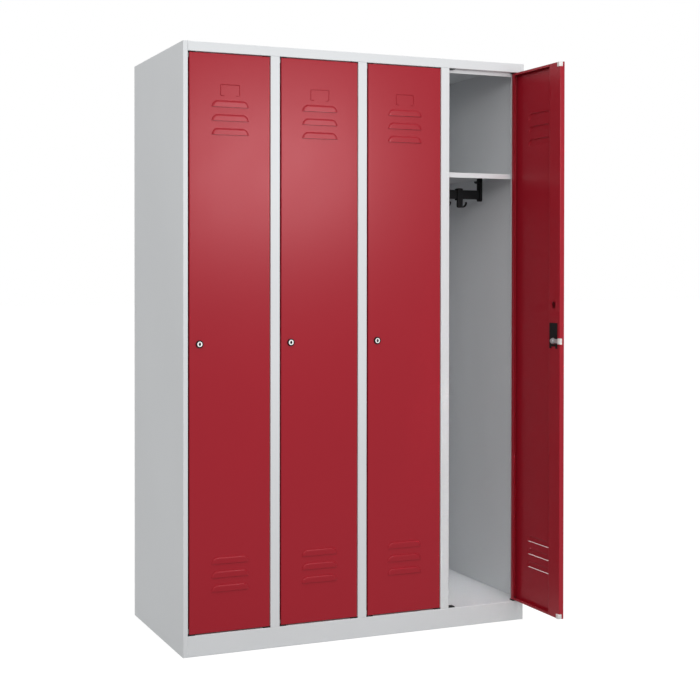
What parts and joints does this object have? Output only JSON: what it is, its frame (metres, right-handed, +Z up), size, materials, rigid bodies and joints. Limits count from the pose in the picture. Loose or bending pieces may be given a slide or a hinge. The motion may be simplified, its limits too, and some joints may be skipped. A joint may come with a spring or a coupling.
{
  "type": "compartment locker",
  "caption": "Folded steel wardrobe locker on a closed plinth: narrow bays side by side, each with a louvred cam-locked door, a hat shelf, a coat rail and sliding hooks.",
  "frame": {"origin": "on the floor, in the middle of the cabinet's footprint, the open door left out", "axes": "+Z up, +X to the right as seen from the front, +Y from the doors to the back"},
  "size_m": [1.2, 0.7605, 1.85],
  "materials": {
    "carcass_grey": "light grey powder coat, satin",
    "door_red": "ruby red powder coat, semi-gloss",
    "black_plastic": "black moulded plastic",
    "bumper_white": "white soft buffer",
    "zinc_steel": "bright zinc plated",
    "bright_chrome": "polished lock face"
  },
  "bodies": {
    "carcass": {"left_side_panel": "carcass_grey", "right_side_panel": "carcass_grey", "back_panel": "carcass_grey", "roof_panel": "carcass_grey", "floor_panel": "carcass_grey", "front_post_1": "carcass_grey", "front_post_2": "carcass_grey", "front_post_3": "carcass_grey", "partition_1": "carcass_grey", "partition_2": "carcass_grey", "partition_3": "carcass_grey", "corner_bushes": "black_plastic", "hinge_pins": "zinc_steel", "hat_shelf_1": "carcass_grey", "hat_shelf_2": "carcass_grey", "hat_shelf_3": "carcass_grey", "hat_shelf_4": "carcass_grey", "coat_rail_1": "black_plastic", "coat_rail_2": "black_plastic", "coat_rail_3": "black_plastic", "coat_rail_4": "black_plastic"},
    "door_1": {"door_leaf_1": "door_red", "door_bumpers_1": "bumper_white", "lock_barrel_1": "black_plastic", "lock_cover_1": "black_plastic"},
    "lock_1": {"lock_plug_1": "bright_chrome", "lock_cam_1": "zinc_steel", "cam_screw_1": "zinc_steel"},
    "hook_1_left": {"coat_hook_1_left": "black_plastic"},
    "hook_1_right": {"coat_hook_1_right": "black_plastic"},
    "door_2": {"door_leaf_2": "door_red", "door_bumpers_2": "bumper_white", "lock_barrel_2": "black_plastic", "lock_cover_2": "black_plastic"},
    "lock_2": {"lock_plug_2": "bright_chrome", "lock_cam_2": "zinc_steel", "cam_screw_2": "zinc_steel"},
    "hook_2_left": {"coat_hook_2_left": "black_plastic"},
    "hook_2_right": {"coat_hook_2_right": "black_plastic"},
    "door_3": {"door_leaf_3": "door_red", "door_bumpers_3": "bumper_white", "lock_barrel_3": "black_plastic", "lock_cover_3": "black_plastic"},
    "lock_3": {"lock_plug_3": "bright_chrome", "lock_cam_3": "zinc_steel", "cam_screw_3": "zinc_steel"},
    "hook_3_left": {"coat_hook_3_left": "black_plastic"},
    "hook_3_right": {"coat_hook_3_right": "black_plastic"},
    "door_4": {"door_leaf_4": "door_red", "door_bumpers_4": "bumper_white", "lock_barrel_4": "black_plastic", "lock_cover_4": "black_plastic"},
    "lock_4": {"lock_plug_4": "bright_chrome", "lock_cam_4": "zinc_steel", "cam_screw_4": "zinc_steel"},
    "hook_4_left": {"coat_hook_4_left": "black_plastic"},
    "hook_4_right": {"coat_hook_4_right": "black_plastic"}
  },
  "joints": [
    {"name": "door_1_hinge", "type": "hinge", "parent": "carcass", "child": "door_1", "pos_m": [-0.3265, -0.2435, 0.943], "axis": [0, 0, 1], "range_deg": [0, 110]},
    {"name": "lock_1_turn", "type": "hinge", "parent": "door_1", "child": "lock_1", "pos_m": [-0.548, -0.2435, 0.941], "axis": [0, -1, 0], "range_deg": [0, 90]},
    {"name": "hook_1_left_slide", "type": "slide", "parent": "carcass", "child": "hook_1_left", "axis": [1, 0, 0], "range_m": [-0.059, 0.012]},
    {"name": "hook_1_right_slide", "type": "slide", "parent": "carcass", "child": "hook_1_right", "axis": [1, 0, 0], "range_m": [-0.012, 0.049]},
    {"name": "door_2_hinge", "type": "hinge", "parent": "carcass", "child": "door_2", "pos_m": [-0.0265, -0.2435, 0.943], "axis": [0, 0, 1], "range_deg": [0, 110]},
    {"name": "lock_2_turn", "type": "hinge", "parent": "door_2", "child": "lock_2", "pos_m": [-0.248, -0.2435, 0.941], "axis": [0, -1, 0], "range_deg": [0, 90]},
    {"name": "hook_2_left_slide", "type": "slide", "parent": "carcass", "child": "hook_2_left", "axis": [1, 0, 0], "range_m": [-0.059, 0.012]},
    {"name": "hook_2_right_slide", "type": "slide", "parent": "carcass", "child": "hook_2_right", "axis": [1, 0, 0], "range_m": [-0.012, 0.049]},
    {"name": "door_3_hinge", "type": "hinge", "parent": "carcass", "child": "door_3", "pos_m": [0.2735, -0.2435, 0.943], "axis": [0, 0, 1], "range_deg": [0, 110]},
    {"name": "lock_3_turn", "type": "hinge", "parent": "door_3", "child": "lock_3", "pos_m": [0.052, -0.2435, 0.941], "axis": [0, -1, 0], "range_deg": [0, 90]},
    {"name": "hook_3_left_slide", "type": "slide", "parent": "carcass", "child": "hook_3_left", "axis": [1, 0, 0], "range_m": [-0.059, 0.012]},
    {"name": "hook_3_right_slide", "type": "slide", "parent": "carcass", "child": "hook_3_right", "axis": [1, 0, 0], "range_m": [-0.012, 0.049]},
    {"name": "door_4_hinge", "type": "hinge", "parent": "carcass", "child": "door_4", "pos_m": [0.5735, -0.2435, 0.943], "axis": [0, 0, 1], "range_deg": [-90, 20]},
    {"name": "lock_4_turn", "type": "hinge", "parent": "door_4", "child": "lock_4", "pos_m": [0.5735, -0.465, 0.941], "axis": [1, 0, 0], "range_deg": [-90, 0]},
    {"name": "hook_4_left_slide", "type": "slide", "parent": "carcass", "child": "hook_4_left", "axis": [1, 0, 0], "range_m": [-0.059, 0.012]},
    {"name": "hook_4_right_slide", "type": "slide", "parent": "carcass", "child": "hook_4_right", "axis": [1, 0, 0], "range_m": [-0.012, 0.049]}
  ]
}
